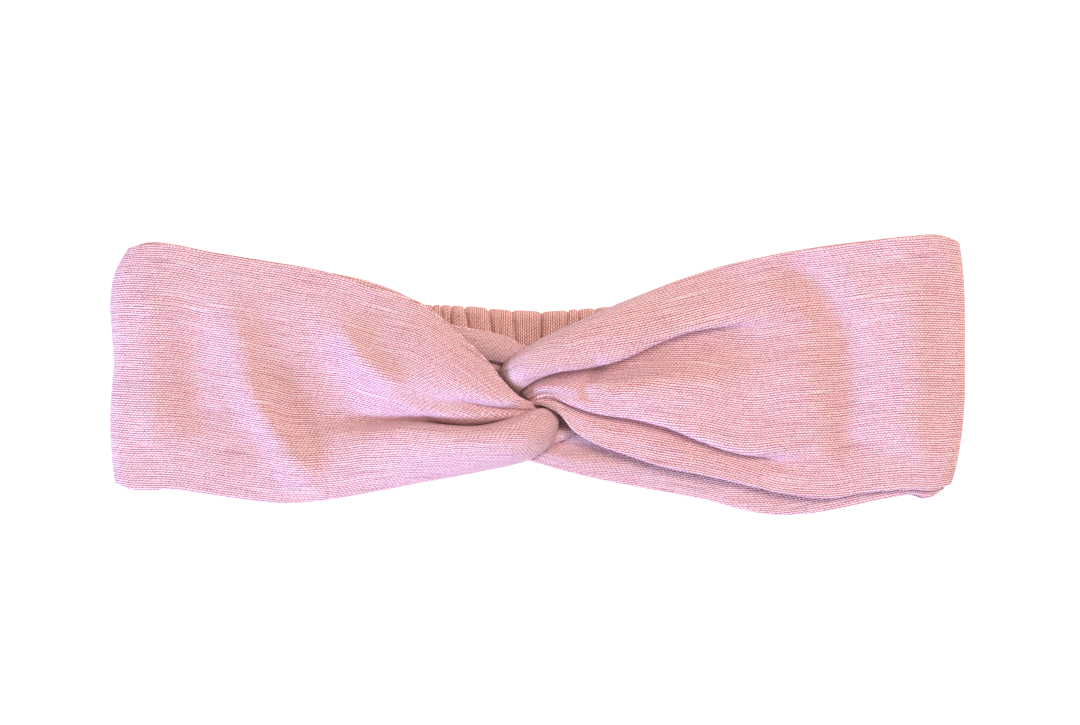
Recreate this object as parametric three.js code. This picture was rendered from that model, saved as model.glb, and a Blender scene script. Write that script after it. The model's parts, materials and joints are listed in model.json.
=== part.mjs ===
// Knotted headband, laid flat: two sewn cloth bands hook through each other in a knot at the front,
// turn back at the two side folds and are sewn, at the back, to the ends of a gathered sleeve that
// holds a flat elastic. Millimetres, +Z up. X runs from side fold to side fold and Y up the band's
// height. The gathered back lies underneath, and the origin is under the middle, on the surface.
import * as THREE from "three";

// Driving dimensions of the whole band
const flatWidth = 240.4; // over the two side folds
const endHeight = 71; // the band's height at a side fold
const endTop = 39.5; // from the middle line up to the top of a side fold
const elasticSpan = 120; // the gathered back, from join to join

// Cloth and the gaps between its layers
const bandThick = 1.6; // one band pressed flat, a tube of two cloth layers
const layerGap = 0.3; // between layers that lie on each other
const bendGap = 1.2; // from a line where the band bends to the pieces on each side of it
const headGap = 4.4; // between the front and the back, where the head goes
const foldRadius = 4.35; // of the cloth that rolls round a side fold

// The gathered sleeve, its elastic and the stitching round its ends
const casingHeight = 38;
const casingThick = 5;
const casingWall = 1.1;
const casingMiddle = 12; // the stretch in the middle that the hand draws out
const elasticHeight = 32;
const elasticThick = 1.2;
const threadThick = 0.3;
const threadWide = 0.9;
const threadFit = 0.1; // between the thread and the sleeve
const threadInset = 3; // from the sleeve's end to the row of stitches

// The knot, where each band is drawn together to a rope
const ropeRadius = 3.5;
const ropeFit = 0.35; // between the two ropes
const knotY = -7; // the knot sits below the band's middle line
const knotTaper = 1.5; // rope left straight beside the other band's turn

// The two edges of each band where the front starts to bend, at the ends of the elastic span
const leftEdges = { outer: { top: 29, bottom: -35.5 }, inner: { top: 27, bottom: -32 } };
const rightEdges = { outer: { top: 33, bottom: -31.6 }, inner: { top: 29, bottom: -endTop } };

// Places that follow from the sizes
const endBottom = endTop - endHeight;
const joinX = elasticSpan / 2;
const foldX = flatWidth / 2 - foldRadius;
const runEnd = foldX - Math.sqrt((foldRadius + layerGap) ** 2 - (headGap / 2) ** 2); // beside the roll
const tailInnerLow = bandThick + layerGap;
const frontInnerLow = tailInnerLow + bandThick + headGap;
const frontOuterLow = frontInnerLow + bandThick + layerGap;
const foldZ = tailInnerLow + bandThick + headGap / 2;
const casingLow = threadThick + threadFit;
const casingTop = casingLow + casingThick;
const turnRadius = 2 * ropeRadius + ropeFit;
const turnX = turnRadius - ropeRadius - ropeFit / 2;
const ropeOffset = turnRadius * Math.SQRT1_2;
const knotZ = casingTop + layerGap + ropeRadius + ropeOffset;

const cloth = new THREE.MeshStandardMaterial({ color: "#dc9fa8", roughness: 0.9, metalness: 0 });
const gathered = new THREE.MeshStandardMaterial({ color: "#d79a9b", roughness: 0.9, metalness: 0 });
const rubber = new THREE.MeshStandardMaterial({ color: "#f1ece8", roughness: 0.7, metalness: 0 });
const thread = new THREE.MeshStandardMaterial({ color: "#d592a0", roughness: 0.6, metalness: 0 });

const headband = new THREE.Group();

function place(name, geometry, material, side = 1) {
  const mesh = new THREE.Mesh(geometry, material);
  mesh.name = name;
  mesh.scale.x = side; // pieces are shaped on the +X side, and the left ones are mirrored
  headband.add(mesh);
}

// Moves every point of a geometry to where the function puts it.
function reshape(geometry, toPlace) {
  const points = geometry.attributes.position;
  const point = new THREE.Vector3();
  for (let i = 0; i < points.count; i++) {
    point.fromBufferAttribute(points, i);
    points.setXYZ(i, ...toPlace(point).toArray());
  }
  return geometry;
}

// A flat length of band between two stations, each with its place along X and its two edges.
function flatRun(from, to, low) {
  const box = new THREE.BoxGeometry(1, 1, 1);
  return reshape(box, ({ x, y, z }) => {
    const at = (key) => THREE.MathUtils.lerp(from[key], to[key], x + 0.5);
    const height = THREE.MathUtils.lerp(at("bottom"), at("top"), y + 0.5);
    return new THREE.Vector3(at("x"), height, low + bandThick * (z + 0.5));
  });
}

// A rounded rectangle of the Kind asked for, upright in Y and Z once it is drawn out along X.
function roundedSection(height, thick, low, Kind) {
  const r = thick * 0.45;
  const y = height / 2 - r;
  const section = new Kind();
  section.absarc(y, low + r, r, -Math.PI / 2, 0);
  section.absarc(y, low + thick - r, r, 0, Math.PI / 2);
  section.absarc(-y, low + thick - r, r, Math.PI / 2, Math.PI);
  section.absarc(-y, low + r, r, Math.PI, 1.5 * Math.PI);
  section.closePath();
  return section;
}

function drawnAlongX(section, x0, x1) {
  const depth = x1 - x0;
  const solid = new THREE.ExtrudeGeometry(section, { depth, bevelEnabled: false, curveSegments: 5 });
  const [toY, toZ, toX] = [[0, 1, 0], [0, 0, 1], [1, 0, 0]].map((v) => new THREE.Vector3(...v));
  return solid.applyMatrix4(new THREE.Matrix4().makeBasis(toY, toZ, toX)).translate(x0, 0, 0);
}

// The gathered back: a sleeve in three lengths, with the elastic in each of them.
function casingLength(name, x0, x1) {
  const sleeve = roundedSection(casingHeight, casingThick, casingLow, THREE.Shape);
  const inside = [casingHeight - 2 * casingWall, casingThick - 2 * casingWall, casingLow + casingWall];
  sleeve.holes.push(roundedSection(...inside, THREE.Path));
  place("elastic_casing_" + name, drawnAlongX(sleeve, x0, x1), gathered);
  const elasticLow = casingLow + (casingThick - elasticThick) / 2;
  const strip = roundedSection(elasticHeight, elasticThick, elasticLow, THREE.Shape);
  place("elastic_" + name, drawnAlongX(strip, x0, x1), rubber);
}

const middleX = casingMiddle / 2;
const casingEnd = joinX - bendGap;
casingLength("middle", -middleX, middleX);
casingLength("left", -casingEnd, -middleX - layerGap);
casingLength("right", middleX + layerGap, casingEnd);

// The row of stitches that closes the sleeve's end over the ends of the band.
function joinStitching(name, side) {
  const [inside, outside] = [threadFit, threadFit + threadThick].map((proud) => [
    casingHeight + 2 * proud,
    casingThick + 2 * proud,
    casingLow - proud,
  ]);
  const loop = roundedSection(...outside, THREE.Shape);
  loop.holes.push(roundedSection(...inside, THREE.Path));
  const x0 = casingEnd - threadInset - threadWide;
  place(name + "_join_stitching", drawnAlongX(loop, x0, x0 + threadWide), thread, side);
}

// The rolled cloth that fills the side fold, standing along Y, on the line that the band turns about.
function sideFold(name, side) {
  const roll = new THREE.CylinderGeometry(foldRadius, foldRadius, endHeight, 24);
  roll.translate(foldX, (endTop + endBottom) / 2, foldZ);
  place(name + "_side_fold", roll, cloth, side);
}

// Both layers behind the fold, drawn in to the sleeve's height, and both layers in front of it.
function flatRuns(name, side, edges) {
  const atFold = { x: runEnd, top: endTop, bottom: endBottom };
  const bendX = joinX + bendGap;
  const atJoin = { x: bendX, top: casingHeight / 2, bottom: -casingHeight / 2 };
  for (const [layer, low] of [["outer", 0], ["inner", tailInnerLow]]) {
    place(`${name}_${layer}_tail`, flatRun(atJoin, atFold, low), cloth, side);
  }
  for (const [layer, low] of [["outer", frontOuterLow], ["inner", frontInnerLow]]) {
    const atBend = { x: bendX, ...edges[layer] };
    place(`${name}_${layer}_front`, flatRun(atBend, atFold, low), cloth, side);
  }
}

// One band through the knot: in from the front's bend, drawn together to a rope, round the other
// band's rope in a half turn, and back out underneath. The right band crosses the knot on the upper
// side and returns on the lower side, and the left band the other way round.
function knotLoop(name, side, edges) {
  const ropeX = turnRadius + knotTaper;
  const share = (x) => 1 - THREE.MathUtils.smoothstep(x, ropeX, casingEnd);
  const halfTurn = Math.PI * turnRadius;
  const straight = casingEnd - turnX;
  const length = 2 * straight + halfTurn;

  // How far round the turn, the place along X and the layer, at a distance along the band.
  function stationAt(distance) {
    const turned = THREE.MathUtils.clamp((distance - straight) / turnRadius, 0, Math.PI);
    const fromTurn = Math.max(straight - distance, distance - straight - halfTurn, 0);
    const x = turnX + fromTurn - turnRadius * Math.sin(turned);
    return { x, turned, layer: turned < Math.PI / 2 ? "outer" : "inner" };
  }
  function centreAt(distance) {
    const { x, turned, layer } = stationAt(distance);
    const { top, bottom } = edges[layer];
    const low = layer === "outer" ? frontOuterLow : frontInnerLow;
    const across = ropeOffset * Math.cos(turned);
    const flat = new THREE.Vector3(x, (top + bottom) / 2, low + bandThick / 2);
    return flat.lerp(new THREE.Vector3(x, knotY + side * across, knotZ + across), share(x));
  }

  const rope = new THREE.CylinderGeometry(1, 1, 1, 16, 64);
  const loop = reshape(rope, ({ x: wide, y: along, z: thick }) => {
    const distance = (along + 0.5) * length;
    const { x, layer } = stationAt(distance);
    const { top, bottom } = edges[layer];
    const step = 0.05;
    const tangent = centreAt(distance + step).sub(centreAt(distance - step)).normalize();
    const across = new THREE.Vector3(0, 1, 0);
    across.addScaledVector(tangent, -across.dot(tangent)).normalize();
    const normal = new THREE.Vector3().crossVectors(across, tangent);
    const halfWide = THREE.MathUtils.lerp((top - bottom) / 2, ropeRadius, share(x));
    const halfThick = THREE.MathUtils.lerp(bandThick / 2, ropeRadius, share(x));
    return centreAt(distance)
      .addScaledVector(across, wide * halfWide)
      .addScaledVector(normal, thick * halfThick);
  });
  place(name + "_knot_loop", loop, cloth, side);
}

for (const [name, side, edges] of [["left", -1, leftEdges], ["right", 1, rightEdges]]) {
  joinStitching(name, side);
  sideFold(name, side);
  flatRuns(name, side, edges);
  knotLoop(name, side, edges);
}

export default headband;
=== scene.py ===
import json
import math

import bmesh
import bpy
import numpy as np
from mathutils import Vector, noise
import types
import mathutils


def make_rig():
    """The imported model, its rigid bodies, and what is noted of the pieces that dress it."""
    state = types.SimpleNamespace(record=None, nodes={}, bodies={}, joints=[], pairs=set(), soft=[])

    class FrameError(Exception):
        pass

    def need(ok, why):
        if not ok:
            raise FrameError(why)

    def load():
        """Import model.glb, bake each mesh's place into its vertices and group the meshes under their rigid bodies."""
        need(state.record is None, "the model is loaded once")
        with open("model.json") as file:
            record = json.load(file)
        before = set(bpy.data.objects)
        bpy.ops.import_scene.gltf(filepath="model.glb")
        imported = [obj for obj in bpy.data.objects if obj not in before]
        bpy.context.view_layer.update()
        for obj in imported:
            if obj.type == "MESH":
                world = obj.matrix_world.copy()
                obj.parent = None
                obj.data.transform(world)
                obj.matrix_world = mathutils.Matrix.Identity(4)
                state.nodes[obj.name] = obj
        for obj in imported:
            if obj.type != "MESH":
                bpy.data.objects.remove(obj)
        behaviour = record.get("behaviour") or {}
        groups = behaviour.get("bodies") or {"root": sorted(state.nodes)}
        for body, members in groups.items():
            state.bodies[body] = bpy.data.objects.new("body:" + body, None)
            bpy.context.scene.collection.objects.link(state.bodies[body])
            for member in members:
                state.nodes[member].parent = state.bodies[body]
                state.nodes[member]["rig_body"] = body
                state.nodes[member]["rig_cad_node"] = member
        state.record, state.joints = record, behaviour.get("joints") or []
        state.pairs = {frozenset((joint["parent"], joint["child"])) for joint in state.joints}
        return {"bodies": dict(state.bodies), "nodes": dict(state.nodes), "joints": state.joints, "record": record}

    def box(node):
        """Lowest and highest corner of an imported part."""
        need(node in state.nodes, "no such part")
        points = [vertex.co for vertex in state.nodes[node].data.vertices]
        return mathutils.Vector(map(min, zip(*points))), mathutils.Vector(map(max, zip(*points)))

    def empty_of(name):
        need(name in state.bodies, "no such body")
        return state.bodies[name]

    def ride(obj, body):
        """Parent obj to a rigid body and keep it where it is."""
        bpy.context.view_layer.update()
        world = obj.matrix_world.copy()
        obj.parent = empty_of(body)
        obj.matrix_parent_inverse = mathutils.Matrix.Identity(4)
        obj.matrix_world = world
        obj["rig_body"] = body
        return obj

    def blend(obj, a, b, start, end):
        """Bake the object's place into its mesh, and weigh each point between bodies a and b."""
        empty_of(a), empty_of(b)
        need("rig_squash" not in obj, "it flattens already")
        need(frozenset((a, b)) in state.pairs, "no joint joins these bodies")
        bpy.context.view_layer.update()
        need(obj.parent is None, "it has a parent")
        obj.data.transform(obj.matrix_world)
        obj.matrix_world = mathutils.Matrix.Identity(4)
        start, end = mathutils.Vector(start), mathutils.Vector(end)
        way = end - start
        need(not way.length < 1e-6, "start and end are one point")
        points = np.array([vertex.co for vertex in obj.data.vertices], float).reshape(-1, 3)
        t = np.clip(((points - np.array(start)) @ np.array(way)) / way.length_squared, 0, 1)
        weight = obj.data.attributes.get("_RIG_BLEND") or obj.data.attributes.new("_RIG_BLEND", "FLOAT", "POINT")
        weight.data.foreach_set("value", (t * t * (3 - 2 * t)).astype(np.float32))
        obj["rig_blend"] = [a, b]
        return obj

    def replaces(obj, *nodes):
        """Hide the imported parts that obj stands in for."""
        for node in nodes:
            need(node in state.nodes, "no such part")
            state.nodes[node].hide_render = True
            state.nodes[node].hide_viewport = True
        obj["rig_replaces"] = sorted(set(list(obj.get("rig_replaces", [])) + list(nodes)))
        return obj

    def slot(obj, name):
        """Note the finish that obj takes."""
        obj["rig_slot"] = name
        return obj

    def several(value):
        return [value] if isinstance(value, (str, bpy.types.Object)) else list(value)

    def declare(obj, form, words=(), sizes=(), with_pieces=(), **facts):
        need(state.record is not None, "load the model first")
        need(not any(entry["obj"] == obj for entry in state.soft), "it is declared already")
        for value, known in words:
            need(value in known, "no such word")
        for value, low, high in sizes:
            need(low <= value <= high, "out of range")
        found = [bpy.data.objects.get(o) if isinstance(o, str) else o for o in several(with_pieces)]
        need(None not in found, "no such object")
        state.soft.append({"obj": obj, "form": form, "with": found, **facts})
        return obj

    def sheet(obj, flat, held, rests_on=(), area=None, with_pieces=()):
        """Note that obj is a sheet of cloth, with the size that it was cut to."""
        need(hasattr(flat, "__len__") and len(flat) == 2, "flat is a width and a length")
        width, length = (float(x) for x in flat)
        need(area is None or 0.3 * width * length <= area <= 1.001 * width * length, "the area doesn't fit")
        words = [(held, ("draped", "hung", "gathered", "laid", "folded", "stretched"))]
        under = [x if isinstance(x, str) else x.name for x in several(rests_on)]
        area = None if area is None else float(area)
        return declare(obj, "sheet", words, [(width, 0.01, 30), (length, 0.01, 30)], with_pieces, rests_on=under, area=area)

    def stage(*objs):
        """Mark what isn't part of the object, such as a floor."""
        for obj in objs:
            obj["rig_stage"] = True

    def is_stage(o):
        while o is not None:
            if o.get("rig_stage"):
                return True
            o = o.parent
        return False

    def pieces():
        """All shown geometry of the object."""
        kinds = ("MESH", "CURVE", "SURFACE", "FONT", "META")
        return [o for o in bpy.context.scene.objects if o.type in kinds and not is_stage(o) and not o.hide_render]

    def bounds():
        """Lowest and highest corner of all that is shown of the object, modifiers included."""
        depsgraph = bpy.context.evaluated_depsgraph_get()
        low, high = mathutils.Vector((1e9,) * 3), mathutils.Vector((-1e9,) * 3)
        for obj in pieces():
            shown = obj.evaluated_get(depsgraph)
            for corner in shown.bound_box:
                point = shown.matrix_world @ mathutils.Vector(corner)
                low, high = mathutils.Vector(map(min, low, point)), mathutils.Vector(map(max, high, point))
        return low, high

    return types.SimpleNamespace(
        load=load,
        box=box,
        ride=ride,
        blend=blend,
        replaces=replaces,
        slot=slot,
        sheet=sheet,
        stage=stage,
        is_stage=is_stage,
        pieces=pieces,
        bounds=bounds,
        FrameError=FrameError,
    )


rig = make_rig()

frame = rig.load()
cad_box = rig.bounds()

# ---------------------------------------------------------------------------------------------
# The cloth. A plain weave of cotton with a linen look: pink yarn with paler and darker threads in
# it, uneven in thickness, and slubs that run along the band. One thread is about six tenths of a
# millimetre, and the map on each piece is in metres, along the band and across it.
mm = 0.001
thread_pitch = 0.64 * mm


class Wire:
    """A socket in a material's nodes, with arithmetic that adds Math nodes."""

    def __init__(self, tree, socket):
        self.tree = tree
        self.socket = socket

    def _math(self, operation, *values):
        return self.node("ShaderNodeMath", {"operation": operation}, dict(enumerate(values)))

    def node(self, kind, settings, inputs, output=0):
        """Adds a node of a kind, with its settings and the values or wires of its sockets."""
        made = self.tree.nodes.new(kind)
        for name, value in settings.items():
            setattr(made, name, value)
        for name, value in inputs.items():
            if isinstance(value, Wire):
                self.tree.links.new(value.socket, made.inputs[name])
            else:
                made.inputs[name].default_value = value
        return Wire(self.tree, made.outputs[output])

    def __add__(self, other):
        return self._math("ADD", self, other)

    __radd__ = __add__

    def __mul__(self, other):
        return self._math("MULTIPLY", self, other)

    __rmul__ = __mul__

    def __sub__(self, other):
        return self._math("SUBTRACT", self, other)

    def __rsub__(self, other):
        return self._math("SUBTRACT", other, self)

    def first_two(self):
        """The first two numbers of a vector, each as a wire."""
        parts = self.node("ShaderNodeSeparateXYZ", {}, {"Vector": self}).socket.node.outputs
        return Wire(self.tree, parts[0]), Wire(self.tree, parts[1])

    def into(self, socket):
        """Leads this wire into a shader's socket."""
        self.tree.links.new(self.socket, socket)

    def sine(self):
        return self._math("SINE", self)

    def absolute(self):
        return self._math("ABSOLUTE", self)

    def between(self, low, high):
        """0 below low, 1 above high and smooth between them."""
        settings = {"interpolation_type": "SMOOTHSTEP"}
        return self.node("ShaderNodeMapRange", settings, {"Value": self, 1: low, 2: high})

    def noise(self, along, across, detail=2.0, seed=0.0):
        """Noise on the map, with grains of those two sizes in metres."""
        to_grains = {"Vector": self, "Location": (seed, seed, 0), "Scale": (1 / along, 1 / across, 1)}
        moved = self.node("ShaderNodeMapping", {}, to_grains)
        return self.node("ShaderNodeTexNoise", {}, {"Vector": moved, "Scale": 1.0, "Detail": detail})

    def mix(self, low, high):
        """A colour from low to high as this wire goes from 0 to 1."""
        sockets = {0: self, 6: low, 7: high}
        return self.node("ShaderNodeMix", {"data_type": "RGBA"}, sockets, output=2)

    def bump(self, distance):
        """The surface raised by up to that distance where this wire is high."""
        sockets = {"Height": self, "Strength": 0.8, "Distance": distance}
        return self.node("ShaderNodeBump", {}, sockets)


def new_material(name):
    """A material, its shader and a wire to make its first node from."""
    material = bpy.data.materials.new(name)
    material.use_nodes = True
    tree = material.node_tree
    return material, tree.nodes["Principled BSDF"], Wire(tree, None)


def woven_cloth(name, pink, pale, deep, slub=1.0):
    """The weave in three colours: of most yarn, of the slubs and of the gaps between threads."""
    material, shader, first = new_material(name)
    place = first.node("ShaderNodeUVMap", {"uv_map": "cloth"}, {})
    along, across = place.first_two()

    # Uneven yarn pushes its neighbours aside, so the rows of the weave waver a little.
    wander = place.noise(12 * mm, 3 * mm) - 0.5
    jitter = place.noise(1.7 * mm, 0.9 * mm, 1.0, 23.0) - 0.5
    turns = math.pi / thread_pitch
    rows = (across * turns + wander * 2.5 + jitter * 0.8).sine()
    picks = (along * turns * 1.3 + wander * 3.0 + jitter * 2.5).sine()
    over = rows * picks
    yarn = rows.absolute() * 0.8 + picks.absolute() * 0.25

    # Single threads are paler or darker, and slubs are long thick stretches of yarn.
    warp_yarn = place.noise(9 * mm, 0.46 * mm, 1.0, 3.0)
    weft_yarn = place.noise(0.5 * mm, 5 * mm, 1.0, 7.0)
    slubs = place.noise(26 * mm, 0.42 * mm, 2.0, 11.0).between(0.60, 0.72)
    thin = place.noise(18 * mm, 0.42 * mm, 2.0, 19.0).between(0.60, 0.72)
    heather = place.noise(0.8 * mm, 0.5 * mm, 2.0, 5.0)
    patch = place.noise(30 * mm, 22 * mm, 2.0, 2.0)

    threads = yarn * 1.2 + over * 0.35 + warp_yarn * 0.36
    shade = threads + heather * 0.75 + weft_yarn * 0.25 + patch * 0.08 - 1.24
    colour = shade.between(-0.45, 0.95).mix((*deep, 1), (*pink, 1))
    colour = (slubs * (0.6 * slub)).mix(colour, (*pale, 1))
    colour = (thin * (0.45 * slub)).mix(colour, (*deep, 1))
    colour.into(shader.inputs["Base Color"])

    rough = yarn * 0.08 + heather * 0.10 + 0.72
    rough.into(shader.inputs["Roughness"])
    relief = yarn * 0.9 + over * 0.35 + warp_yarn * 0.6 + heather * 0.5 + slubs * 0.9 - thin * 0.4
    relief.bump(0.2 * mm).into(shader.inputs["Normal"])
    shader.inputs["Specular IOR Level"].default_value = 0.22
    shader.inputs["Sheen Weight"].default_value = 0.12
    shader.inputs["Sheen Roughness"].default_value = 0.45
    shader.inputs["Sheen Tint"].default_value = (0.93, 0.72, 0.98, 1)
    return material


band_cloth = woven_cloth(
    "band_cloth", pink=(1.0, 0.74, 0.76), pale=(1.0, 0.93, 0.95), deep=(0.36, 0.05, 0.08)
)

# ---------------------------------------------------------------------------------------------
# The two bands. Each is a tube of cloth, cut twice as wide and sewn along its length, pressed to
# two layers and folded in half round the other band, so that it lies at the front in an outer and
# an inner run. Both runs turn back at the side fold and end in the gathered sleeve.
joint = {j["name"]: Vector(j.get("pos_m", (0, 0, 0))) / mm for j in frame["joints"]}
join_x = joint["right_tail_bend"].x
fold_x, _, fold_z = joint["right_side_fold"]
half_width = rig.box("right_side_fold")[1].x / mm
band_thick = 1.1
edge_steps = 4  # round each edge of a pressed tube
track_steps = 9  # across the cloth, from one of its guide lines to the next
tail_steps, fold_steps = 46, 54  # rows of points along a tail and round a side fold
front_steps = {"outer": 170, "inner": 120}  # and along a front
fold_radius = {"outer": half_width - fold_x - band_thick / 2, "inner": 2.0}
fold_reach = {"outer": 1.1, "inner": 0.9}  # how far past its arc a side fold goes on bending
edge_tuck = 1.4  # how far the cloth's edges draw in as it goes round a side fold
fold_start = 104  # where the front ends and the side fold starts, along X
tail_end = join_x - 2.5  # the raw end, inside the sleeve
tail_low = {"outer": 0.8, "inner": 2.6}  # the height each tail lies at
sewn_low = {"outer": 2.1, "inner": 3.7}  # and the height where it is sewn into the sleeve
sewn_width = 33
tail_bend = (-4, 15)  # from inside the join to outside it
front_bend = 20  # on each side of its joint
cloth_length = 95  # of the front, from the side fold to the knot


def curve_through(known, points, wanted):
    """A smooth curve through points, which are known at rising values, at the wanted values."""
    known, points = np.asarray(known, float), np.asarray(points, float)
    step = np.diff(known)
    columns = (-1, *[1] * (points.ndim - 1))
    weight = step.reshape(columns)
    slope = np.diff(points, axis=0) / weight
    inner = (slope[:-1] * weight[1:] + slope[1:] * weight[:-1]) / (weight[1:] + weight[:-1])
    tangent = np.concatenate([slope[:1], inner, slope[-1:]])
    i = np.clip(np.searchsorted(known, wanted, side="right") - 1, 0, len(known) - 2)
    wide = step[i].reshape(columns)
    a, b, u = points[i], points[i + 1], (wanted - known[i]).reshape(columns) / wide
    return (
        a * (1 + 2 * u) * (1 - u) ** 2
        + b * u * u * (3 - 2 * u)
        + tangent[i] * wide * u * (1 - u) ** 2
        - tangent[i + 1] * wide * u * u * (1 - u)
    )


def lengths_along(points):
    return np.concatenate([[0], np.cumsum(np.linalg.norm(np.diff(points, axis=0), axis=1))])


def behind_the_front(side, layer, y, across, edge_drop):
    """One guide line's points on the tail and round the side fold, and how far each lies behind
    the front. across goes from 0 at the band's upper edge to 1 at its lower edge."""
    radius = fold_radius[layer]
    sewn_y, sewn_z = (0.5 - across) * sewn_width, sewn_low[layer]
    centre = fold_x - edge_drop
    low = tail_low[layer]
    half = (sewn_y + y) / 2

    # The tail sinks from the sleeve to where it lies, and widens to the height of the front.
    points = [
        (tail_end, sewn_y, sewn_z),
        (join_x + 3, sewn_y * 1.02, sewn_z * 0.97),
        (join_x + 12, sewn_y + (half - sewn_y) * 0.45, (sewn_z + low) / 2 + 0.1),
        (join_x + 23, half + (y - half) * 0.25, low + 0.15),
        (join_x + 35, half + (y - half) * 0.8, low),
        (fold_start, y, low + 0.35),
    ]

    # Half a turn round the side fold.
    tuck = edge_tuck * abs(2 * across - 1) ** 6 * (1 if across > 0.5 else -1)
    for turn in range(7):
        angle = math.radians(-90 + 30 * turn)
        bend = math.cos(angle)
        points.append((centre + radius * bend, y + tuck * bend, fold_z + radius * math.sin(angle)))
    return [(side * x, y, z) for x, y, z in points]


def cloth_surface(side, layer, guides, drop, relief):
    """The middle of the pressed tube as rows along the band of points across it, from the sewn
    end, round the side fold and along the front to the knot, and the last rows of the tail and of
    the side fold."""
    first = [g[0][1] for g in guides]
    upper, lower = first[0], first[-1]
    lines = []
    for guide in guides:
        y = guide[0][1]
        back = behind_the_front(side, layer, y, (upper - y) / (upper - lower), drop(y))
        front = np.array([(side * x, y, z) for x, y, z in guide], float)
        lines.append((np.array(back), front))
    nominal = lengths_along(lines[len(lines) // 2][0])
    to_front = nominal[-1] + np.linalg.norm(lines[0][1][0] - lines[0][0][-1])
    back_marks = (nominal - to_front) / cloth_length
    tail_rows = np.linspace(back_marks[0], back_marks[5], tail_steps)
    fold_rows = np.linspace(back_marks[5], 0, fold_steps)
    front_rows = np.linspace(0, 1, front_steps[layer])
    marks = np.concatenate([tail_rows, fold_rows[1:], front_rows[1:]])
    tracks = []
    for back, front in lines:
        far = lengths_along(front)
        known = np.concatenate([back_marks, far / far[-1]])
        tracks.append(curve_through(known, np.concatenate([back, front]), marks))
    tracks = np.array(tracks)  # guide, row, xyz
    chords = np.linalg.norm(np.diff(tracks, axis=0), axis=2)
    rows = []
    for row in range(tracks.shape[1]):
        known = np.concatenate([[0], np.cumsum(chords[:, row])])
        wanted = np.concatenate(
            [np.linspace(a, b, track_steps, endpoint=False) for a, b in zip(known, known[1:])]
            + [known[-1:]]
        )
        rows.append(curve_through(known, tracks[:, row], wanted))
    return relief(np.array(rows), marks), (tail_steps - 1, tail_steps + fold_steps - 2)


def cloth_normals(surface, side):
    along = np.gradient(surface, axis=0)
    across = np.gradient(surface, axis=1)
    normal = np.cross(along, across) * side
    return normal / np.linalg.norm(normal, axis=2, keepdims=True)


def closed_cloth(points, chart_points, sharp_ends):
    """A closed mesh through rows of points, each once round the piece. The first and last rows
    close its ends, and the map's points are in the same order."""
    last_row, last_column = points.shape[0] - 1, points.shape[1] - 1
    mesh = bmesh.new()
    bmesh.ops.create_grid(mesh, x_segments=last_column, y_segments=last_row, size=1)
    chart = mesh.loops.layers.uv.new("cloth")

    def number(vert):
        row, column = (vert.co.y + 1) / 2 * last_row, (vert.co.x + 1) / 2 * last_column
        return round(row), round(column)

    for face in mesh.faces:
        face.smooth = True
        for loop in face.loops:
            loop[chart].uv = chart_points[number(loop.vert)] * mm
    for vert in mesh.verts:
        row, column = number(vert)
        vert.co = Vector(points[row, column])
        vert.index = row
    for edge in mesh.edges:
        a, b = (vert.index for vert in edge.verts)
        if sharp_ends and a == b and a in (1, last_row - 1):
            edge.smooth = False
    bmesh.ops.remove_doubles(mesh, verts=mesh.verts, dist=1e-5)
    bmesh.ops.recalc_face_normals(mesh, faces=mesh.faces)
    return mesh


def new_piece(name, mesh, material):
    """An object from a mesh in millimetres."""
    bmesh.ops.scale(mesh, vec=Vector((mm, mm, mm)), verts=mesh.verts)
    data = bpy.data.meshes.new(name)
    mesh.to_mesh(data)
    mesh.free()
    data.materials.append(material)
    piece = bpy.data.objects.new(name, data)
    bpy.context.scene.collection.objects.link(piece)
    return piece


def pressed_tube(name, surface, normal, start, flat_width, material, thick=band_thick):
    """A closed mesh of the tube: one wall on each side of the surface and round edges. start is
    the place of the first row along the cloth, for its map."""
    rows, count = surface.shape[:2]
    half = thick / 2
    angles = [math.pi * (i + 1) / (edge_steps + 1) for i in range(edge_steps)]

    def round_edge(edge, inner, n):
        out = edge - inner
        out = out / np.linalg.norm(out, axis=1, keepdims=True)
        return [edge + half * (n * math.cos(a) + out * math.sin(a)) for a in angles]

    upper = surface + normal * half
    lower = surface - normal * half
    far_edge = round_edge(surface[:, -1], surface[:, -2], normal[:, -1])
    near_edge = round_edge(surface[:, 0], surface[:, 1], normal[:, 0])
    ring = np.concatenate(
        [upper, np.stack(far_edge, 1), lower[:, ::-1], np.stack(near_edge[::-1], 1), upper[:, :1]], 1
    )
    near, far = surface[:, :1], surface[:, -1:]
    middle = np.concatenate(
        [surface, *[far] * edge_steps, surface[:, ::-1], *[near] * edge_steps, near], 1
    )
    ring = np.concatenate([middle[:1], ring, middle[-1:]])

    # The map: along the cloth by its middle line, and across it by the way round the tube.
    centre_line = lengths_along(surface[:, count // 2])
    along = start + np.concatenate([centre_line[:1], centre_line, centre_line[-1:]])
    path = np.cumsum(np.linalg.norm(np.diff(surface, axis=1), axis=2), axis=1)
    path = np.concatenate([np.zeros((rows, 1)), path], 1)
    span = 0.5 * flat_width + 0.5 * path[:, -1:]
    across = path / path[:, -1:] * span - span / 2
    edge_way = half * math.pi
    beyond = np.linspace(0, edge_way, edge_steps + 2)[1:-1]
    back_start = flat_width + edge_way
    across = np.concatenate(
        [
            across,
            across[:, -1:] + beyond,
            back_start - across[:, ::-1],
            back_start - across[:, :1] + beyond,
            back_start - across[:, :1] + edge_way,
        ],
        1,
    )
    across = np.concatenate([across[:1], across, across[-1:]])
    along = np.broadcast_to(along[:, None], across.shape)
    return new_piece(name, closed_cloth(ring, np.stack([along, across], 2), True), material)


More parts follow.
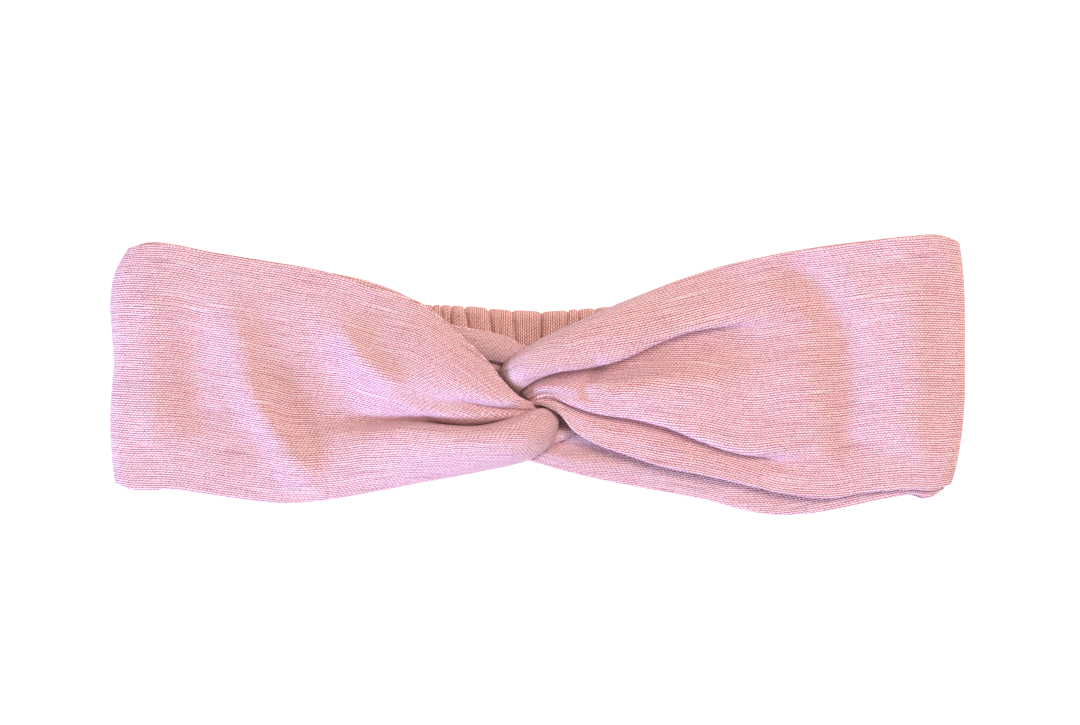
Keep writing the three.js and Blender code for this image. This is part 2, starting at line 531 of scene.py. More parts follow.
def soft_line(points, height, width, ends=12):
    """A long soft ridge, or a hollow where height is below 0, along a line in X and Y."""
    dense = curve_through(range(len(points)), points, np.linspace(0, len(points) - 1, 90))
    far = lengths_along(dense)
    fade = np.clip(np.minimum(far, far[-1] - far) / ends, 0, 1)
    fade = fade * fade * (3 - 2 * fade)

    def lift(x, y):
        flat = np.stack([x.ravel(), y.ravel()], 1)
        out = np.empty(len(flat))
        for k in range(0, len(flat), 4000):
            gap = np.linalg.norm(flat[k : k + 4000, None] - dense[None], axis=2)
            near = gap.argmin(1)
            out[k : k + 4000] = fade[near] * np.exp(-((gap.min(1) / width) ** 2))
        return height * out.reshape(x.shape)

    return lift


def crumple(surface, seed, height=0.45, size=16):
    """Shallow random unevenness, as handled cloth has."""
    flat = surface.reshape(-1, 3)
    lift = [
        noise.noise(Vector((x / size, y / size * 1.3, z / size + seed))) * height for x, y, z in flat
    ]
    return np.array(lift).reshape(surface.shape[:2])


def shaped_relief(lines, seed):
    """The soft lines and the unevenness of a front, which fade out on its way to the side fold."""
    fade_start, fade_length = -0.11, 0.10

    def relief(surface, marks):
        x, y = surface[..., 0], surface[..., 1]
        lift = sum(line(x, y) for line in lines)
        front = np.clip((marks - fade_start) / fade_length, 0, 1)[:, None]
        front = front * front * (3 - 2 * front)
        surface = surface.copy()
        surface[..., 2] += lift * front
        surface[..., 2] += crumple(surface, seed) * front
        return surface

    return relief


def make_run(side, layer, guides, drop, relief, flat_width):
    """The three pieces of one run: the front with its way through the knot, the side fold and the
    tail. Each is made up to where the cloth moves with one body alone."""
    name = {-1: "left", 1: "right"}[side]
    surface, (tail_last, fold_last) = cloth_surface(side, layer, guides, drop, relief)
    normal = cloth_normals(surface, side)
    way = lengths_along(surface[:, surface.shape[1] // 2])
    parts = {
        "tail": slice(0, tail_last + 1),
        "side_fold": slice(tail_last, fold_last + 1),
        "front": slice(fold_last, None),
    }
    made = {}
    for part, rows in parts.items():
        start = way[rows][0]
        piece_name = f"{name}_band_{layer}_{part}"
        piece = pressed_tube(piece_name, surface[rows], normal[rows], start, flat_width, band_cloth)
        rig.slot(piece, "band_cloth")
        made[part] = piece
        length = (way[rows][-1] - start) * mm
        held = {"tail": "gathered", "side_fold": "folded", "front": "gathered"}[part]
        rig.sheet(piece, flat=(flat_width * mm, length), held=held, rests_on=[])

    def at(x, z=0):
        return (side * x * mm, 0, z * mm)

    tail, front, knot = (f"{name}_{body}" for body in ("tail", "front", "knot"))
    reach = fold_radius[layer] + fold_reach[layer]
    inside, outside = (at(join_x + bend) for bend in tail_bend)
    under, over = at(0, fold_z - reach), at(0, fold_z + reach)
    far, near = at(join_x + front_bend), at(join_x - front_bend)
    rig.blend(made["tail"], "casing_ends", tail, start=inside, end=outside)
    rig.blend(made["side_fold"], tail, front, start=under, end=over)
    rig.blend(made["front"], front, knot, start=far, end=near)
    return made


# The left band. Its outer run crosses the knot on the lower side: its upper part is drawn down
# into the middle of the knot in two soft rolls, and its lower part is a wide roll that turns under.
left_outer = [
    # along the upper edge, which falls into the knot
    [(104, 36.3, 10.6), (92, 34.0, 10.5), (76, 31.4, 10.4), (60, 28.5, 10.4), (45, 24.0, 10.8),
     (31.5, 18.9, 12), (22, 11.0, 14.5), (14.5, 3.9, 17), (9.2, -2.6, 18), (5, -6.6, 17), (2, -8, 14),
     (-0.6, -9.2, 10.5)],
    # just below that edge
    [(104, 28, 10.8), (92, 26, 10.8), (76, 24.5, 10.7), (60, 22.5, 10.9), (46, 18.5, 12),
     (33, 12.5, 14.6), (23, 5.4, 17.5), (15.5, -1, 19.3), (9.5, -5.2, 19), (5, -7.7, 17.3),
     (2, -8.7, 14), (-0.6, -9.5, 10.5)],
    # the crest of the upper roll
    [(104, 19.5, 10.8), (92, 17, 10.8), (76, 15, 10.7), (60, 13, 11.3), (49, 7, 13.8), (39, 0.5, 16.6),
     (29, -4, 18.6), (20, -6.2, 19.5), (13, -7.7, 19.3), (8, -8.7, 18), (4.5, -9, 16.3),
     (1.5, -9.3, 13.4), (-0.8, -9.9, 10.2)],
    # the hollow under it
    [(104, 11, 10.8), (92, 9, 10.8), (76, 6.5, 10.6), (62, 4, 10.6), (51, -0.5, 12.3), (41, -4.2, 15),
     (31, -6.6, 17), (21.5, -8, 17.4), (13, -9.1, 16.7), (8, -9.6, 15.8), (4.5, -9.7, 14.6),
     (1.5, -9.8, 12.4), (-1, -10.3, 9.8)],
    # the crest of the second roll
    [(104, 3, 10.8), (92, 1, 10.8), (77, -1.5, 10.6), (64, -4, 10), (53, -6, 11), (43, -8, 13.6),
     (33, -9.6, 16.4), (23, -10.9, 17.8), (14, -11.3, 17.7), (8, -11.1, 16.9), (4, -10.8, 15.4),
     (1, -10.5, 12.4), (-1.2, -10.8, 9.5)],
    # the deep hollow between the rolls above and the wide roll below
    [(104, -7, 10.8), (92, -8, 10.8), (80, -10, 10.6), (70, -12.5, 9.6), (58, -13.5, 9.5),
     (47, -13.8, 9.8), (36, -12.9, 11.6), (27, -13.7, 12.6), (19, -14.4, 13.2), (12, -13.6, 13),
     (6.5, -12.2, 12.3), (2.5, -11, 11.6), (0, -10.4, 10.6), (-1.9, -10.4, 9)],
    # the upper shoulder of the wide roll
    [(104, -14.5, 10.8), (92, -15, 10.8), (84, -17.5, 10.9), (75, -20.5, 10.5), (66.5, -19.9, 10.8),
     (56, -17.3, 12.4), (46, -16.8, 14.4), (36, -15.8, 16.8), (27, -15.7, 18.7), (19, -15.9, 20),
     (12, -15.3, 20.6), (6, -13.3, 19.8), (2, -11.4, 17.9), (-1.5, -10.1, 15), (-3.7, -9.9, 12),
     (-4.3, -10.4, 9)],
    # its crest
    [(104, -21, 10.8), (92, -21.5, 10.8), (82, -24, 11.2), (71, -26.3, 12.2), (59, -24.5, 13.2),
     (47, -22.6, 15), (36, -20.6, 17.6), (26, -19.5, 19.6), (17, -19, 21), (9, -17.9, 21.3),
     (3, -16, 20.1), (-1.6, -14.2, 17.4), (-4.6, -12.9, 14.4), (-5.5, -12.5, 11.4), (-5, -12.7, 8.6)],
    # its lower shoulder
    [(104, -27.5, 10.8), (92, -28, 10.8), (82, -29.8, 11), (70, -31.3, 11.7), (57, -29.8, 12.4),
     (45, -28, 13.5), (34, -25.8, 15), (24, -24.4, 16.8), (15, -23.2, 18.2), (8, -22, 18.8),
     (2.5, -20.3, 17.9), (-1.8, -18.2, 15.8), (-4.5, -16.5, 13), (-5.1, -15.8, 10.8),
     (-4.6, -15.6, 8.6)],
    # along the lower edge
    [(104, -31.6, 10.6), (92, -33.0, 10.4), (82, -34.5, 10.3), (70, -35.5, 10.3), (57, -34.3, 10.3),
     (45, -32.2, 10.5), (34, -30, 11), (24, -28.2, 12), (15, -26.4, 13), (8, -25, 13.6),
     (3, -23.6, 13.8), (-0.2, -22, 13.2), (-2.8, -20, 12), (-4.1, -18.7, 10.5), (-4.1, -18.1, 8.8)],
]


def left_drop(y):
    """How far the side fold's end lies in from the band's full width, at a place across it."""
    waist = 1.1 * math.exp(-(((y - 4) / 9) ** 2))
    return 5.2 * max(0, (y - 19) / 18) ** 2.2 + waist + 1.2 * max(0, (-10 - y) / 20) ** 2


left_lines = [
    # the long ridge that sweeps down towards the knot, steeper in its lower half
    soft_line(
        [(-84, 26), (-84, 14), (-82.5, 4), (-79, -6), (-75.5, -13), (-71, -20), (-65, -26), (-57, -30)],
        2.3, 5.4, 20,
    ),
    soft_line([(-83, 2), (-79.5, -6), (-75.5, -13), (-71, -20), (-65, -26), (-57, -30)], 1.7, 4.8),
    # low waves beside the side fold and between the ridges
    soft_line([(-110, 30), (-111, 12), (-111, -8), (-109, -24)], 1.4, 8),
    soft_line([(-97, 20), (-96, 10), (-95.5, -5), (-92, -20)], -2.2, 7.5),
    soft_line([(-73, 10), (-70, 0), (-67, -8), (-61, -14)], -0.6, 6),
    soft_line([(-55.5, 17), (-52.5, 9), (-48.5, 3), (-42, -1.6), (-33, -4.8)], 3.5, 4.0),
    soft_line([(-66, 12), (-62, 3), (-56, -5), (-48, -10)], -0.7, 5),
    # narrow creases between the rolls
    soft_line(
        [(-33.6, -10.6), (-27.9, -13.2), (-21.1, -14.6), (-14.1, -14), (-6.7, -12.5), (-1.5, -10.8)],
        -1.5, 1.0, 5,
    ),
    soft_line([(-24, -6.4), (-17, -7.6), (-12.5, -8.3), (-7.9, -9), (-3, -8.2)], -1.3, 0.9, 5),
]
left_outer_run = make_run(
    -1, "outer", left_outer, left_drop, shaped_relief(left_lines, seed=3.1), flat_width=70
)

left_inner_edges = (
    [(104, 35.4, 8.6), (92, 33.0, 8.1), (76, 30.8, 7.8), (60, 28.4, 7.8), (50, 26.4, 8), (40, 23, 8.4),
     (31, 18.2, 9.4), (24.5, 13.6, 11), (18.7, 12.6, 12), (13, 11.3, 12.4), (6.7, 9.3, 12), (1, 6, 11),
     (-4, 0, 10), (-7, -7, 8.6), (-6, -12, 8)],
    [(104, -30.5, 8.6), (92, -31.5, 8.1), (76, -32.5, 7.8), (60, -29, 7.6), (45, -20, 7.8),
     (31, -9, 8.6), (22, -3.5, 9.8), (14.5, -2.2, 11), (8, -3.5, 11), (3, -6, 10.4), (0, -9, 9.4),
     (-2, -12, 8.4)],
)


def folded_between(upper, lower, folds):
    """Guide lines between two edges. Each fold gives a line's place across the cloth where it lies
    flat, its place where it is drawn together near the knot, and how far it is lifted there."""
    steps = np.linspace(0, 1, 15)
    edges = []
    for edge in (upper, lower):
        far = lengths_along(np.array(edge, float))
        edges.append(curve_through(far / far[-1], edge, steps))
    drawn = np.clip((steps - 0.2) / 0.55, 0, 1)
    drawn = drawn * drawn * (3 - 2 * drawn)
    guides = []
    for flat, gathered, lift in folds:
        share = (flat + (gathered - flat) * drawn)[:, None]
        guide = edges[0] * (1 - share) + edges[1] * share
        guide[:, 2] += lift * drawn
        guides.append([tuple(p) for p in guide])
    return guides


# Near the knot the inner run shows as a roll with a lip, and the rest is tucked under it.
left_folds = [
    (0, 0, 0), (0.08, 0.1, 0.8), (0.17, 0.22, 1.2), (0.27, 0.34, 1.0), (0.36, 0.43, 0.2),
    (0.42, 0.42, -0.9), (0.5, 0.5, -1.2), (0.6, 0.66, -0.6), (0.7, 0.86, -0.9), (0.78, 1.0, -1.8),
    (0.86, 0.9, -2.6), (0.93, 0.7, -2.7), (1, 0.5, -2.6),
]
left_inner = folded_between(*left_inner_edges, left_folds)

# The inner runs are of the same 70 mm tube, but the cloth tucked inside the knot isn't modelled,
# so they are declared narrower.
left_inner_run = make_run(
    -1, "inner", left_inner, left_drop, shaped_relief([], seed=9.7), flat_width=64
)

# The right band. Its outer run crosses the knot on the upper side: a long roll on top that turns
# down behind the left band, a wide panel that swells out from under it, and a lower strip.
right_outer = [
    # along the upper edge
    [(104, 38.3, 11.4), (92, 37.0, 11.7), (78, 35.2, 11.6), (64, 32.7, 11.4), (52, 30.0, 11.2),
     (41, 26.6, 11.4), (30, 22.3, 12.4), (20, 18.3, 14), (11, 14.2, 15.2), (3, 10.6, 15.5),
     (-3.5, 7.0, 14.8), (-8, 4, 13), (-10, 1, 10.5), (-9, -1.6, 8.5)],
    # the roll's upper shoulder
    [(104, 31, 10.8), (92, 31, 10.8), (78, 29.5, 10.7), (64, 27.5, 11.2), (52, 25.8, 12),
     (41, 23.2, 13.4), (30, 19.6, 15.8), (20, 15.8, 18), (11, 12, 19.8), (3, 8, 20.6), (-3, 4.8, 20),
     (-8.4, 1.6, 16.8), (-10.3, -0.8, 12.5), (-9.3, -2.6, 9)],
    # its crest
    [(104, 25, 10.8), (92, 25, 10.8), (78, 23.5, 10.7), (64, 21.7, 11.9), (52, 20, 13.4),
     (41, 18.2, 15.3), (30, 14.4, 17.8), (20, 10.3, 20), (11, 6.8, 21.4), (3, 3.4, 21.9),
     (-3, 0.8, 20.8), (-7.2, -1.6, 17.5), (-8.8, -3.2, 13), (-8, -4.4, 9)],
    # its lower lip
    [(104, 20, 10.8), (92, 20, 10.8), (78, 18.5, 10.7), (64, 16.4, 12), (52, 14.1, 13.4),
     (43, 12.6, 15), (33, 9.1, 17), (23, 4.6, 18.8), (13, 2.3, 19.9), (5, 1.2, 20.4), (-1, -1, 18.8),
     (-5, -3.7, 15.8), (-6.6, -4.9, 12.5), (-6.2, -6, 9)],
    # the hollow tucked under the lip
    [(104, 16, 10.8), (92, 16, 10.8), (78, 14.5, 10.7), (64, 13.8, 11), (53, 13.9, 10.6),
     (44, 14, 10.4), (34, 11.4, 11.4), (24, 7.0, 12.2), (14, 4.5, 13), (6, 3.0, 13.2), (0, 0.4, 12.8),
     (-3.6, -3, 12), (-5, -5.1, 10.8), (-5.2, -6.4, 9)],
    # the panel where it comes out from under it
    [(104, 12, 10.8), (92, 12, 10.8), (78, 10.5, 10.7), (65, 9.6, 10.6), (54, 9, 10.3), (44, 8, 10.5),
     (34, 5.2, 11.3), (24, 2, 12.9), (14.5, -0.2, 14.8), (7, -1.2, 15.6), (1, -2.4, 15.3),
     (-2.6, -4.4, 13.8), (-4.2, -6, 11.5), (-4.6, -7, 9)],
    # the panel's middle
    [(104, 3, 10.8), (92, 3, 10.8), (78, 1.5, 10.9), (65, 0, 12.2), (54, -1.3, 14), (44, -2.2, 15.6),
     (34, -3, 17), (24, -3.6, 18), (14.5, -3.6, 18), (7, -3.6, 17.8), (1.2, -4, 16.4),
     (-2.2, -5.4, 13.8), (-3.8, -6.5, 11.5), (-4.2, -7.4, 9)],
    # the panel's lower part
    [(104, -6, 10.8), (92, -6, 10.8), (79, -7.5, 10.9), (66, -10, 12), (55, -11.4, 13.2),
     (45, -11, 14.6), (34.5, -9.8, 16), (24.5, -8.4, 17), (15.5, -7.2, 17.4), (8, -5.6, 17),
     (2, -4.9, 15.8), (-1.8, -6.1, 13.6), (-3.6, -6.9, 11.5), (-3.9, -7.8, 9)],
    # the panel's lower lip
    [(104, -14, 10.8), (92, -15, 10.8), (80, -19, 11), (68, -22.3, 11.9), (56, -21.6, 12.7),
     (46, -18.3, 13.7), (35.5, -14.1, 14.9), (25.5, -11.7, 15.6), (17, -10.4, 16.2), (9.5, -8, 16.5),
     (3.6, -5.8, 16.1), (-1, -6.3, 14.8), (-3.3, -7, 12.2), (-4, -8.2, 9.4)],
    # the hollow tucked under that lip
    [(104, -19.5, 10.8), (92, -20, 10.8), (81, -23, 10.7), (69, -23.6, 10.3), (57, -20.4, 10),
     (46.5, -16.8, 10.4), (36, -12.8, 11), (26, -10.5, 11.6), (17, -9.2, 12.4), (9.5, -7.3, 13.2),
     (4, -6.1, 13.7), (-0.6, -6.6, 13), (-3.1, -7.3, 11.4), (-3.8, -8.5, 9.2)],
    # the lower strip
    [(104, -26.5, 10.8), (92, -27.5, 10.8), (82, -29.5, 10.7), (70, -29.4, 11), (57.5, -26.6, 11.5),
     (47, -23.8, 12.2), (36, -20, 13), (26, -16.8, 13.7), (17, -14, 14.4), (10, -11.2, 14.6),
     (4.8, -8, 15.3), (0, -7.3, 14.4), (-2.8, -7.8, 12), (-3.6, -8.8, 9.4)],
    # along the lower edge
    [(104, -31.7, 10.6), (92, -32.6, 10.6), (82, -34.1, 10.9), (69, -32.8, 11.5), (56, -29.8, 12.1),
     (44, -27.1, 12.7), (34, -25, 13.2), (25, -22, 13.7), (16.5, -18.9, 14.3), (10.2, -15.2, 14.9),
     (6, -10.6, 15.3), (1, -8.2, 14.4), (-2.1, -8.2, 12.6), (-3.2, -9.1, 9.6)],
]


def right_drop(y):
    """The same on the right."""
    return 1.5 * max(0, (y - 16) / 22) ** 2 + 3.8 * max(0, (-2 - y) / 30) ** 2


right_lines = [
    soft_line(
        [(62, 26), (72, 27.5), (79, 23), (84, 15.5), (86.8, 6), (87.4, -8), (86.5, -19), (82, -27)],
        -2.2, 5.5,
    ),
    soft_line([(105, 32), (107, 14), (107, -8), (104, -26)], 1.9, 10),
    soft_line([(70, 13), (73, 4), (73, -8), (70, -18)], 1.5, 8),
    soft_line([(19, 4.5), (15.5, 1), (13.6, -3), (13.8, -8)], -1.7, 2.4, 3),
]
right_outer_run = make_run(
    1, "outer", right_outer, right_drop, shaped_relief(right_lines, seed=5.3), flat_width=70
)

right_inner_edges = (
    [(104, 37, 8.6), (92, 34, 8.1), (78, 30, 7.8), (64, 25, 7.8), (52, 18, 7.8), (41, 11, 8.2),
     (30, 4, 8.8), (20, -3, 9.4), (11, -8, 10), (4, -9.5, 10.2), (-2, -9.5, 10), (-6, -7, 9.4),
     (-8, -4, 8.4)],
    [(104, -33.2, 8.6), (92, -35.4, 8.2), (82, -37.6, 8), (72, -38.8, 8), (62, -38.4, 8.2),
     (50, -35.2, 8.4), (36, -32.4, 8.8), (24, -30.2, 9.2), (12, -27.6, 9.8), (3, -25.2, 10.2),
     (-4, -23.2, 10), (-10, -18, 9.4), (-12, -10, 8.6), (-11, -5, 8)],
)
right_folds = [
    (0, 0.42, -3.2), (0.07, 0.24, -3.2), (0.14, 0.08, -3.0), (0.2, 0.0, -2.4), (0.26, 0.02, -1.9),
    (0.34, 0.2, -1.8), (0.41, 0.41, -1.5), (0.46, 0.47, -0.2), (0.52, 0.52, 1.2), (0.6, 0.6, 1.3),
    (0.7, 0.7, 0.3), (0.78, 0.78, 0.4), (0.88, 0.88, 0.9), (1, 1, 0),
]
right_inner_lines = [
    soft_line([(16, -13), (9.9, -16.9), (6.4, -18.8), (1.8, -21.1), (-3, -24)], -1.8, 1.0, 3)
]
right_inner = folded_between(*right_inner_edges, right_folds)
right_inner_run = make_run(
    1, "inner", right_inner, right_drop, shaped_relief(right_inner_lines, seed=6.4), flat_width=68
)

made_runs = {"left": (left_outer_run, left_inner_run), "right": (right_outer_run, right_inner_run)}
for name, (outer, inner) in made_runs.items():
    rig.replaces(outer["front"], name + "_outer_front", name + "_knot_loop")
    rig.replaces(inner["front"], name + "_inner_front")
    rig.replaces(outer["side_fold"], name + "_side_fold")
    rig.replaces(outer["tail"], name + "_outer_tail")
    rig.replaces(inner["tail"], name + "_inner_tail")

# ---------------------------------------------------------------------------------------------
# The gathered sleeve at the back of the head. It is a tube of the same cloth, cut longer than its
# elastic, so it draws up in flat pleats with sharp folds between them. It is in two halves, which
# meet in a fold at the middle, and each end is flattened where it is sewn over a band's tail.
# Its pink and pale are the band cloth's made darker and more salmon, which is painted shade.
gathered_cloth = woven_cloth(
    "gathered_cloth", pink=(1.0, 0.68, 0.61), pale=(1.0, 0.84, 0.80), deep=(0.36, 0.05, 0.06), slub=0.7
)
sleeve_low, sleeve_high = (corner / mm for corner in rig.box("elastic_casing_middle"))
sleeve_end = join_x - 0.6
sleeve_middle = 1.0  # the fold where the halves meet
sleeve_z = (sleeve_low.z + sleeve_high.z) / 2 + 0.1
sleeve_deep = (sleeve_high.z - sleeve_low.z) / 2 + 0.2  # from its middle to a pleat's crest
edge_radius = 2.4  # of its upper and lower edges
drawn_in = 1.2  # how much narrower it is on each side at its middle
flare, flare_length = 1.9, 25  # it widens by this much on each side, over that length
puff = 1.7  # from a pleat's crest down to the fold beside it
cloth_round = 83  # the cloth's way round it, for the map
stitch_x = join_x - 4.7
sewn_length, sewn_depth = 1.6, 0.7  # of the groove that the stitching draws in
stretch_from, stretch_to = 4, 50  # the part that stretches when the back is drawn out
sleeve_flat = (40 * mm, 80 * mm)  # of one half, before it is gathered
shown_folds = [-29.8, -26.9, -24.4, -20.2, -13.6, -6.8, sleeve_middle, 8.3, 11.6, 16.2]
shown_slants = [0.3, 0.6, 1.0, 1.6, 1.9, 0.5, 0.0, -0.7, 0.4, 0.8]

draw = np.random.default_rng(18)
folds, slants = list(shown_folds), list(shown_slants)
while folds[-1] < sleeve_end + 4:
    folds.append(folds[-1] + draw.uniform(3.2, 6.4))
    slants.append(draw.uniform(-1.2, 1.2))
while folds[0] > -sleeve_end - 4:
    folds.insert(0, folds[0] - draw.uniform(3.2, 6.4))
    slants.insert(0, draw.uniform(-1.2, 1.2))
folds, slants = np.array(folds), np.array(slants)
fold_depths = draw.uniform(0.75, 1.0, len(folds))


def round_the_sleeve(half_wide, turn):
    """A point of the flat sleeve's outline in Y and Z, and which way it faces there."""
    flat = half_wide - edge_radius
    round_way = math.pi * edge_radius
    whole = 4 * flat + 2 * round_way
    way = (turn % 1) * whole
    if way <= flat:
        return way, sleeve_deep, (0, 1)
    if way < flat + round_way:
        angle = (way - flat) / round_way * math.pi
        out = (math.sin(angle), math.cos(angle))
        return flat + edge_radius * out[0], sleeve_deep * out[1], out
    if way <= 3 * flat + round_way:
        return 2 * flat + round_way - way, -sleeve_deep, (0, -1)
    if way < 3 * flat + 2 * round_way:
        angle = (way - 3 * flat - round_way) / round_way * math.pi
        out = (-math.sin(angle), -math.cos(angle))
        return -flat + edge_radius * out[0], sleeve_deep * out[1], out
    return way - whole, sleeve_deep, (0, 1)


def sleeve_point(x, turn):
    """A point of the sleeve at x, with turn going once round it from the middle of its top."""
    half_wide = sleeve_high.y - drawn_in + flare * min(1, abs(x) / flare_length) ** 1.3
    y, z, out = round_the_sleeve(half_wide, turn)
    places = folds + slants * (1 - y / half_wide) + 0.35 * np.sin(y * 0.31 + folds)
    places[folds == sleeve_middle] = sleeve_middle
    k = int(np.clip(np.searchsorted(places, x) - 1, 0, len(places) - 2))
    share = (x - places[k]) / (places[k + 1] - places[k])
    depth = fold_depths[k] + (fold_depths[k + 1] - fold_depths[k]) * share
    lift = 1 - abs(2 * share - 1) ** 6
    sewn = math.exp(-(((abs(x) - stitch_x) / sewn_length) ** 2))
    pleat = depth * (lift - 1) + 0.12 * math.sin(7 * folds[k] + y * 0.25)
    height = puff * pleat * (1 - 0.45 * sewn) - sewn_depth * sewn
    if out[0]:
        height *= 0.55 + 0.45 * abs(out[1])
    return x, y + out[0] * height, sleeve_z + z + out[1] * height


def stretch_with_the_sleeve(piece, side):
    """Lets a piece at the back be drawn out between the casing's middle and its end."""
    start, end = (side * stretch_from * mm, 0, 0), (side * stretch_to * mm, 0, 0)
    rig.blend(piece, "casing_middle", "casing_ends", start=start, end=end)


def sleeve_half(name, side, steps=190, around=132):
    """One half of the sleeve, closed at both ends, from its middle to a join."""
    stations = np.linspace(sleeve_middle, side * sleeve_end, steps + 1)
    points = np.array([[sleeve_point(x, i / around) for i in range(around + 1)] for x in stations])
    centres = np.repeat(points.mean(1)[[0, -1], None], around + 1, axis=1)
    way = np.cumsum(np.linalg.norm(np.diff(points, axis=0), axis=2).mean(1))
    way = np.concatenate([[0, 0], way, way[-1:]])
    turns = np.arange(around + 1) / around * cloth_round
    chart = np.stack(np.broadcast_arrays(turns[None], way[:, None]), 2)
    mesh = closed_cloth(np.concatenate([centres[:1], points, centres[1:]]), chart, False)
    piece = new_piece(name, mesh, gathered_cloth)
    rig.slot(piece, "gathered_cloth")
    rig.sheet(piece, flat=sleeve_flat, held="gathered", rests_on=[])
    stretch_with_the_sleeve(piece, side)
    return piece


left_sleeve = sleeve_half("left_gathered_sleeve", -1)
right_sleeve = sleeve_half("right_gathered_sleeve", 1)
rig.replaces(left_sleeve, "elastic_casing_left", "elastic_casing_middle")
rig.replaces(right_sleeve, "elastic_casing_right")

# ---------------------------------------------------------------------------------------------
# The elastic inside the sleeve: a flat knitted strip with ribs along it, sewn in at both ends.
elastic_low, elastic_high = (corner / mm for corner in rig.box("elastic_middle"))
elastic_end = join_x - 2.6
elastic_wide = elastic_high.y - elastic_low.y
elastic_thick = elastic_high.z - elastic_low.z
rib_pitch, knot_pitch = 1.6 * mm, 0.9 * mm
strip_rows, strip_columns = 60, 25

elastic_band, elastic_shader, first = new_material("elastic_band")
along, across = first.node("ShaderNodeUVMap", {"uv_map": "cloth"}, {}).first_two()
ribs = (across * (math.pi / rib_pitch)).sine().absolute()
knots = (along * (math.pi / knot_pitch)).sine().absolute()
knit = ribs * 0.7 + knots * 0.3
knit.mix((0.62, 0.58, 0.54, 1), (0.90, 0.87, 0.83, 1)).into(elastic_shader.inputs["Base Color"])
knit.bump(0.3 * mm).into(elastic_shader.inputs["Normal"])
elastic_shader.inputs["Roughness"].default_value = 0.7

for side, name in ((-1, "left"), (1, "right")):
    flat = np.zeros((strip_rows, strip_columns, 3))
    flat[..., 0] = np.linspace(sleeve_middle, side * elastic_end, strip_rows)[:, None]
    flat[..., 1] = np.linspace(elastic_high.y, elastic_low.y, strip_columns)[None]
    flat[..., 2] = (elastic_low.z + elastic_high.z) / 2
    up = np.zeros_like(flat)
    up[..., 2] = 1
    strip_name = name + "_elastic_strip"
    strip = pressed_tube(strip_name, flat, up, 0, elastic_wide, elastic_band, elastic_thick)
    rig.slot(strip, "elastic_band")
    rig.sheet(strip, flat=(32 * mm, elastic_end * mm), held="stretched", rests_on=[])
    stretch_with_the_sleeve(strip, side)
    if side < 0:
        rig.replaces(strip, "elastic_left", "elastic_middle")
    else:
        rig.replaces(strip, "elastic_right")

# ---------------------------------------------------------------------------------------------
# The stitching that joins the sleeve, the elastic and a band's tails: a row of thread across the
# sleeve's top and another on its underside, each in the groove that it draws into the cloth.
stitch_count = 13  # in a row
stitch_pitch = 2.6
stitch_long = 1.8
stitch_round = 82  # the sleeve's way round where it is stitched
stitch_proud = 0.12
beside = 0.006  # from a stitch to the points on each side, whose direction it takes
thread_radius = 0.26
top, underside = 0, 0.5  # where a row's middle lies, once round the sleeve

join_thread, thread_shader, first = new_material("join_thread")
place = first.node("ShaderNodeTexCoord", {}, {}, output=3)
strand = place.node(
    "ShaderNodeTexWave",
    {"wave_type": "BANDS", "bands_direction": "DIAGONAL"},
    {"Vector": place, "Scale": 900.0, "Distortion": 0.5},
)
strand.mix((0.50, 0.20, 0.22, 1), (0.85, 0.50, 0.52, 1)).into(thread_shader.inputs["Base Color"])
thread_shader.inputs["Roughness"].default_value = 0.5
thread_shader.inputs["Sheen Weight"].default_value = 0.2

for side, name in ((-1, "left"), (1, "right")):
    row = bmesh.new()
    stitch_size = Vector((thread_radius, thread_radius, stitch_long / 2))
    for row_middle in (top, underside):
        for k in range(stitch_count):
            turn = row_middle + (k - (stitch_count - 1) / 2) * stitch_pitch / stitch_round
            here = Vector(sleeve_point(side * stitch_x, turn))
            before = Vector(sleeve_point(side * stitch_x, turn - beside))
            after = Vector(sleeve_point(side * stitch_x, turn + beside))
            here.z += stitch_proud if row_middle == top else -stitch_proud
            made = bmesh.ops.create_uvsphere(row, u_segments=8, v_segments=6, radius=1)["verts"]
            bmesh.ops.scale(row, vec=stitch_size, verts=made)
            lie = (after - before).to_track_quat("Z", "Y").to_matrix()
            bmesh.ops.rotate(row, cent=(0, 0, 0), matrix=lie, verts=made)
            bmesh.ops.translate(row, vec=here, verts=made)
    for face in row.faces:
        face.smooth = True
    stitches = new_piece(name + "_join_stitches", row, join_thread)
    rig.slot(stitches, "join_thread")
    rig.ride(stitches, "casing_ends")
    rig.replaces(stitches, name + "_join_stitching")

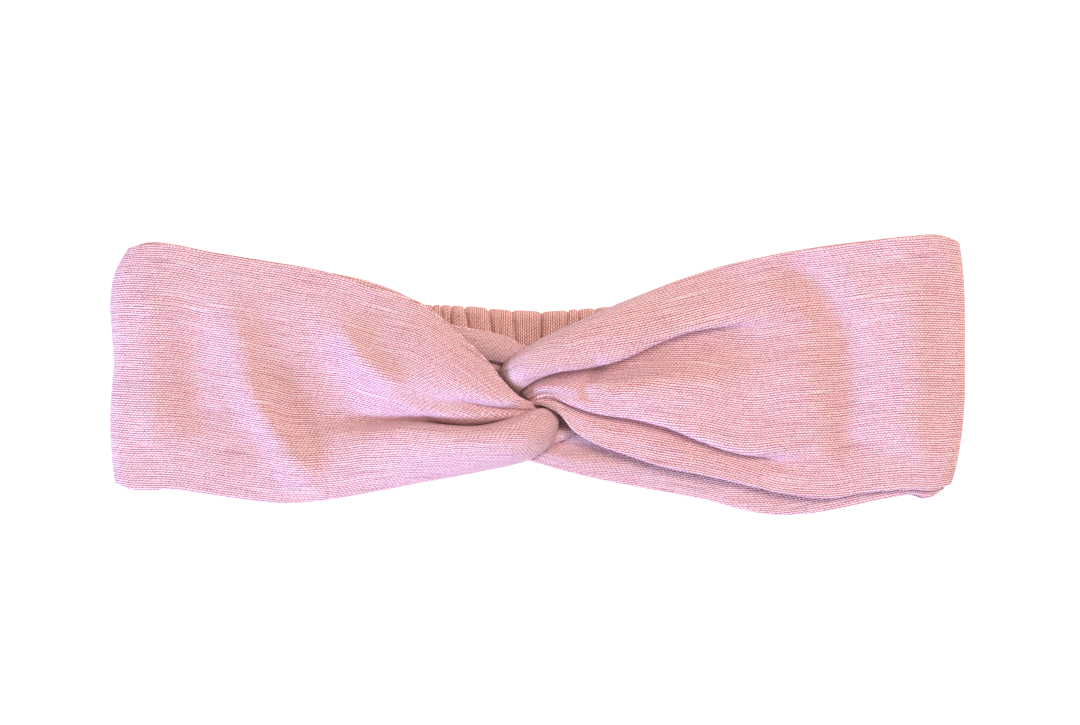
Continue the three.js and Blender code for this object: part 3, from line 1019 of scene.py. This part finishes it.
# ---------------------------------------------------------------------------------------------
# The stand: a plain pale surface, a cool soft light low on the left, a warm one on the right and
# a long lens straight above, as wide as the band with a margin round it.
paper, paper_shader, _ = new_material("paper")
paper_shader.inputs["Base Color"].default_value = (0.40, 0.40, 0.40, 1)
paper_shader.inputs["Roughness"].default_value = 0.9
paper_shader.inputs["Specular IOR Level"].default_value = 0.0
paper_shader.inputs["Emission Color"].default_value = (1, 1, 1, 1)
paper_shader.inputs["Emission Strength"].default_value = 0.78
floor_mesh = bmesh.new()
bmesh.ops.create_grid(floor_mesh, x_segments=1, y_segments=1, size=2000)
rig.stage(new_piece("floor", floor_mesh, paper))


def soft_light(name, place, size, power, colour):
    data = bpy.data.lights.new(name, "AREA")
    data.shape = "DISK"
    data.size = size
    data.energy = power
    data.color = colour
    light = bpy.data.objects.new(name, data)
    light.location = place
    light.rotation_euler = (-Vector(place)).to_track_quat("-Z", "Y").to_euler()
    bpy.context.scene.collection.objects.link(light)


soft_light("cool_key", (-1.15, -1.05, 0.5), 0.5, 50, (0.42, 0.56, 1.0))
soft_light("warm_fill", (0.7, 0.6, 1.3), 0.7, 18, (1.0, 0.88, 0.80))

bpy.context.scene.view_settings.view_transform = "Standard"
world = bpy.data.worlds.new("room")
world.use_nodes = True
world.node_tree.nodes["Background"].inputs["Color"].default_value = (1.0, 0.93, 0.86, 1)
world.node_tree.nodes["Background"].inputs["Strength"].default_value = 0.6
bpy.context.scene.world = world

camera_data = bpy.data.cameras.new("camera")
camera = bpy.data.objects.new("camera", camera_data)
bpy.context.scene.collection.objects.link(camera)
bpy.context.scene.camera = camera
camera_height = 1.6
front_height = 0.012  # of the band's front, which the view's width is measured at
view_width = 0.3024
view_middle = (0.0007, 0.0034)
camera_data.sensor_width = 36
camera_data.lens = camera_data.sensor_width * (camera_height - front_height) / view_width
camera.location = (*view_middle, camera_height)

visual_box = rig.bounds()
with open("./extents.json", "w") as file:
    boxes = {"cad": [list(p) for p in cad_box], "visual": [list(p) for p in visual_box]}
    json.dump(boxes, file)
